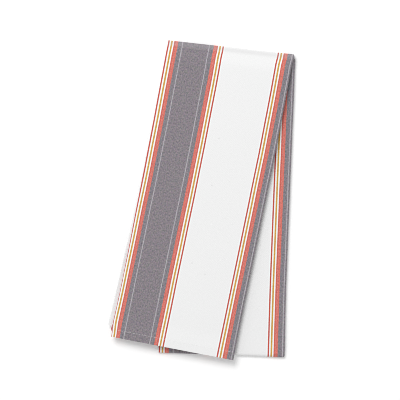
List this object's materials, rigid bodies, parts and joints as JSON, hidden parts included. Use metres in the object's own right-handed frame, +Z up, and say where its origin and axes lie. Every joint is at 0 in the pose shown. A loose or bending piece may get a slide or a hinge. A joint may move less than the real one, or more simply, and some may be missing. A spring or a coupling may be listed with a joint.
{
  "type": "folded tea towel",
  "caption": "Thin woven tea towel folded into a long flat strip and turned over on itself, its upper leg swung aside at a slanted fold.",
  "frame": {"origin": "middle of the bounding box's underside, on the surface that the towel lies on", "axes": "+Z up from the table, +Y from the hemmed end of the upper leg towards the slanted fold, +X towards the legs' folded sides"},
  "size_m": [0.147, 0.2528, 0.0094],
  "materials": {
    "cotton": "matt plain-woven cotton with yarn-dyed stripes"
  },
  "bodies": {
    "root": {"folded_cloth": "cotton"}
  },
  "joints": []
}
